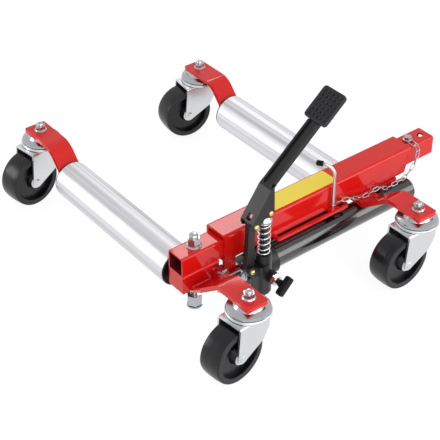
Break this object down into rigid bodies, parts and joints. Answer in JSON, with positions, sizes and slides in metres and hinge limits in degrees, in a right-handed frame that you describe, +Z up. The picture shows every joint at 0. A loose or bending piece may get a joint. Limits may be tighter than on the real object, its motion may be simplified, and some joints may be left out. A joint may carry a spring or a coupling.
{
  "type": "vehicle positioning jack",
  "caption": "Foot-pumped hydraulic wheel dolly: two free rollers on swivel-caster arms that a ram draws together under a tyre to lift it and roll the vehicle",
  "frame": {"origin": "On the floor under the centre of the whole jack's footprint, arm closed", "axes": "X along the telescoping tube towards the fixed end with the lock pin hole, Y along the rollers from the tube to the far casters, Z up"},
  "size_m": [0.6419, 0.6885, 0.3752],
  "materials": {
    "red_powder_coat": "gloss",
    "black_paint": "satin",
    "zinc_plate": "bright zinc",
    "bare_aluminium": "satin",
    "black_plastic": "matte",
    "black_polymer": "semi-matt",
    "chrome_plate": "polished",
    "spring_steel": "bright",
    "yellow_zinc": "passivated",
    "black_rubber": "matte"
  },
  "bodies": {
    "frame": {"sleeve_tube": "red_powder_coat", "stub_tube": "red_powder_coat", "right_near_bracket": "red_powder_coat", "right_far_bracket": "red_powder_coat", "right_roller_axle": "zinc_plate", "ram_cylinder": "black_paint", "ram_end_cap": "black_paint", "ram_gland_nut": "zinc_plate", "ram_saddle": "red_powder_coat", "ram_spine": "black_paint", "pump_gusset": "red_powder_coat", "pump_body": "black_paint", "pump_bolts": "zinc_plate", "valve_nut": "chrome_plate", "link_pin": "yellow_zinc", "pin_rail": "red_powder_coat", "tether_chain": "chrome_plate", "chain_bolt": "zinc_plate", "right_caster_cups": "zinc_plate", "right_caster_bolts": "zinc_plate"},
    "left_arm": {"inner_tube": "red_powder_coat", "axle_block": "red_powder_coat", "left_near_bracket": "red_powder_coat", "left_far_bracket": "red_powder_coat", "left_roller_axle": "zinc_plate", "drawbar_lug": "red_powder_coat", "draw_pin": "zinc_plate", "piston_rod": "chrome_plate", "piston": "spring_steel", "arm_bolt": "zinc_plate", "arm_nut": "zinc_plate", "left_caster_cups": "zinc_plate", "left_caster_bolts": "zinc_plate"},
    "left_roller": {"left_roller_tube": "bare_aluminium", "left_roller_caps": "black_plastic"},
    "right_roller": {"right_roller_tube": "bare_aluminium", "right_roller_caps": "black_plastic"},
    "pedal": {"pedal_lever": "black_paint", "pedal_pad": "black_rubber", "fulcrum_pin": "yellow_zinc"},
    "link": {"pump_link": "black_paint"},
    "plunger": {"pump_plunger": "chrome_plate", "spring_cap": "spring_steel", "plunger_pin": "yellow_zinc", "pump_spring": "spring_steel"},
    "release": {"release_knob": "black_plastic"},
    "locking_pin": {"lock_pin": "chrome_plate", "lock_pin_cap": "black_plastic"},
    "near_left_caster": {"near_left_fork": "zinc_plate", "near_left_axle": "zinc_plate"},
    "near_left_roll": {"near_left_wheel": "black_polymer"},
    "near_right_caster": {"near_right_fork": "zinc_plate", "near_right_axle": "zinc_plate"},
    "near_right_roll": {"near_right_wheel": "black_polymer"},
    "far_left_caster": {"far_left_fork": "zinc_plate", "far_left_axle": "zinc_plate"},
    "far_left_roll": {"far_left_wheel": "black_polymer"},
    "far_right_caster": {"far_right_fork": "zinc_plate", "far_right_axle": "zinc_plate"},
    "far_right_roll": {"far_right_wheel": "black_polymer"}
  },
  "joints": [
    {"name": "arm_slide", "type": "slide", "parent": "frame", "child": "left_arm", "axis": [-1, 0, 0], "range_m": [0, 0.2]},
    {"name": "left_roller_spin", "type": "hinge", "parent": "left_arm", "child": "left_roller", "pos_m": [-0.232, -0.121, 0.083], "axis": [0, 1, 0], "continuous": true},
    {"name": "right_roller_spin", "type": "hinge", "parent": "frame", "child": "right_roller", "pos_m": [0.142, -0.121, 0.083], "axis": [0, 1, 0], "continuous": true},
    {"name": "near_left_swivel", "type": "hinge", "parent": "left_arm", "child": "near_left_caster", "pos_m": [-0.232, -0.307, 0.119], "axis": [0, 0, 1], "continuous": true},
    {"name": "near_left_wheel_spin", "type": "hinge", "parent": "near_left_caster", "child": "near_left_roll", "pos_m": [-0.26882, -0.31067, 0.0513], "axis": [-0.0993, 0.9951, 0], "continuous": true},
    {"name": "near_right_swivel", "type": "hinge", "parent": "frame", "child": "near_right_caster", "pos_m": [0.142, -0.307, 0.119], "axis": [0, 0, 1], "continuous": true},
    {"name": "near_right_wheel_spin", "type": "hinge", "parent": "near_right_caster", "child": "near_right_roll", "pos_m": [0.105, -0.307, 0.0513], "axis": [0, 1, 0], "continuous": true},
    {"name": "far_left_swivel", "type": "hinge", "parent": "left_arm", "child": "far_left_caster", "pos_m": [-0.232, 0.3055, 0.119], "axis": [0, 0, 1], "continuous": true},
    {"name": "far_left_wheel_spin", "type": "hinge", "parent": "far_left_caster", "child": "far_left_roll", "pos_m": [-0.26867, 0.30061, 0.0513], "axis": [-0.1323, 0.9912, 0], "continuous": true},
    {"name": "far_right_swivel", "type": "hinge", "parent": "frame", "child": "far_right_caster", "pos_m": [0.142, 0.3055, 0.119], "axis": [0, 0, 1], "continuous": true},
    {"name": "far_right_wheel_spin", "type": "hinge", "parent": "far_right_caster", "child": "far_right_roll", "pos_m": [0.10539, 0.31084, 0.0513], "axis": [0.1444, 0.9895, 0], "continuous": true},
    {"name": "link_swing", "type": "hinge", "parent": "frame", "child": "link", "pos_m": [-0.154, -0.212, 0.097], "axis": [0, 1, 0], "range_deg": [-3, 0]},
    {"name": "pedal_hinge", "type": "hinge", "parent": "link", "child": "pedal", "pos_m": [-0.1517, -0.212, 0.192], "axis": [0, 1, 0], "range_deg": [0, 32], "stiffness_Nm_per_rad": 12, "springref_deg": -22.92},
    {"name": "plunger_slide", "type": "slide", "parent": "frame", "child": "plunger", "axis": [0, 0, 1], "range_m": [-0.0175, 0], "deforming": ["pump_spring"]},
    {"name": "release_turn", "type": "hinge", "parent": "frame", "child": "release", "pos_m": [-0.1155, -0.26, 0.071], "axis": [0, 1, 0], "range_deg": [0, 180]},
    {"name": "lock_pin_turn", "type": "hinge", "parent": "frame", "child": "locking_pin", "pos_m": [0.063, -0.1805, 0.106], "axis": [0, 0, 1], "range_deg": [-50, 50]}
  ],
  "couplings": [
    {"joint": "link_swing", "follows": "pedal_hinge", "ratio": -0.0761},
    {"joint": "plunger_slide", "follows": "pedal_hinge", "m_per_rad": -0.0295}
  ]
}
